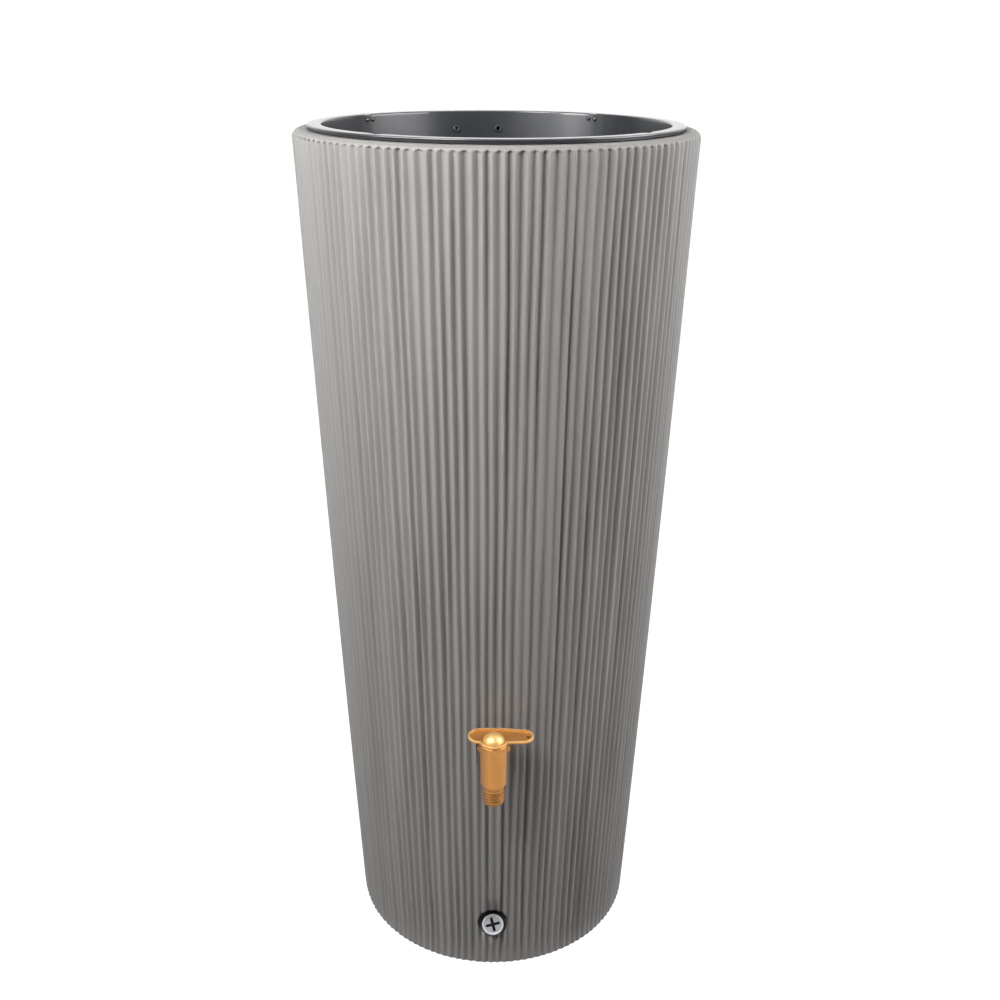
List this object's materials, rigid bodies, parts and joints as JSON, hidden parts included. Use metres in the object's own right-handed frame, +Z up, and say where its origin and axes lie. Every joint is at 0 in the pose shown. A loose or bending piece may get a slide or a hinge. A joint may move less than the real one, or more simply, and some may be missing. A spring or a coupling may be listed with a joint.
{
  "type": "rain barrel",
  "caption": "Tall tapered water butt with finely pleated walls, a lift-out planter insert in its mouth, a lever tap at the front and a recessed drain plug near the base",
  "frame": {"origin": "centre of the tank's flat base, on the ground", "axes": "+Z up along the tank's axis, -Y to the front where the tap and drain are, +X to the right seen from the front"},
  "size_m": [0.58, 0.6167, 1.323],
  "materials": {
    "taupe_plastic": "matt taupe-grey moulded polyethylene, pleated outside",
    "anthracite_plastic": "smooth glossy anthracite plastic",
    "brass": "satin golden brass with a fine cast grain",
    "grey_plastic": "light grey moulded plastic",
    "black_plastic": "black moulded plastic",
    "rubber": "black seal rubber",
    "steel": "dark oxidised steel"
  },
  "bodies": {
    "tank": {"tank_shell": "taupe_plastic", "drain_bush": "black_plastic", "drain_back_seal": "rubber", "drain_back_nut": "black_plastic", "tap_body": "brass", "tap_outer_seal": "rubber", "tap_inner_seal": "rubber", "tap_slip_washer": "grey_plastic", "tap_lock_nut": "brass", "tap_gland": "brass"},
    "planter": {"planter_insert": "anthracite_plastic", "planter_spacer_1": "black_plastic", "planter_spacer_2": "black_plastic", "planter_spacer_3": "black_plastic", "planter_spacer_4": "black_plastic", "planter_screw_1": "steel", "planter_screw_2": "steel", "planter_screw_3": "steel", "planter_screw_4": "steel", "planter_screw_5": "steel", "planter_screw_6": "steel", "planter_screw_7": "steel", "planter_screw_8": "steel", "overflow_eyelet_1": "anthracite_plastic", "overflow_eyelet_2": "anthracite_plastic"},
    "valve": {"tap_plug": "black_plastic", "tap_lower_o_ring": "rubber", "tap_upper_o_ring": "rubber", "tap_lever": "brass", "tap_lever_screw": "steel", "tap_dome_cap": "brass"},
    "drain_ring": {"drain_o_ring": "rubber"},
    "drain_plug": {"drain_plug": "grey_plastic"}
  },
  "joints": [
    {"name": "planter_lift", "type": "slide", "parent": "tank", "child": "planter", "axis": [0, 0, 1], "range_m": [0, 0.35]},
    {"name": "tap_turn", "type": "hinge", "parent": "tank", "child": "valve", "pos_m": [0, -0.306, 0.45], "axis": [0, 0, 1], "range_deg": [-90, 0]},
    {"name": "drain_travel", "type": "slide", "parent": "tank", "child": "drain_ring", "axis": [0, -0.9397, 0.342], "range_m": [0, 0.0108]},
    {"name": "drain_turn", "type": "hinge", "parent": "drain_ring", "child": "drain_plug", "pos_m": [0, -0.22641, 0.0808], "axis": [0, -0.9397, 0.342], "range_deg": [0, 2140]}
  ],
  "couplings": [
    {"joint": "drain_travel", "follows": "drain_turn", "m_per_rad": 0.00028871}
  ]
}
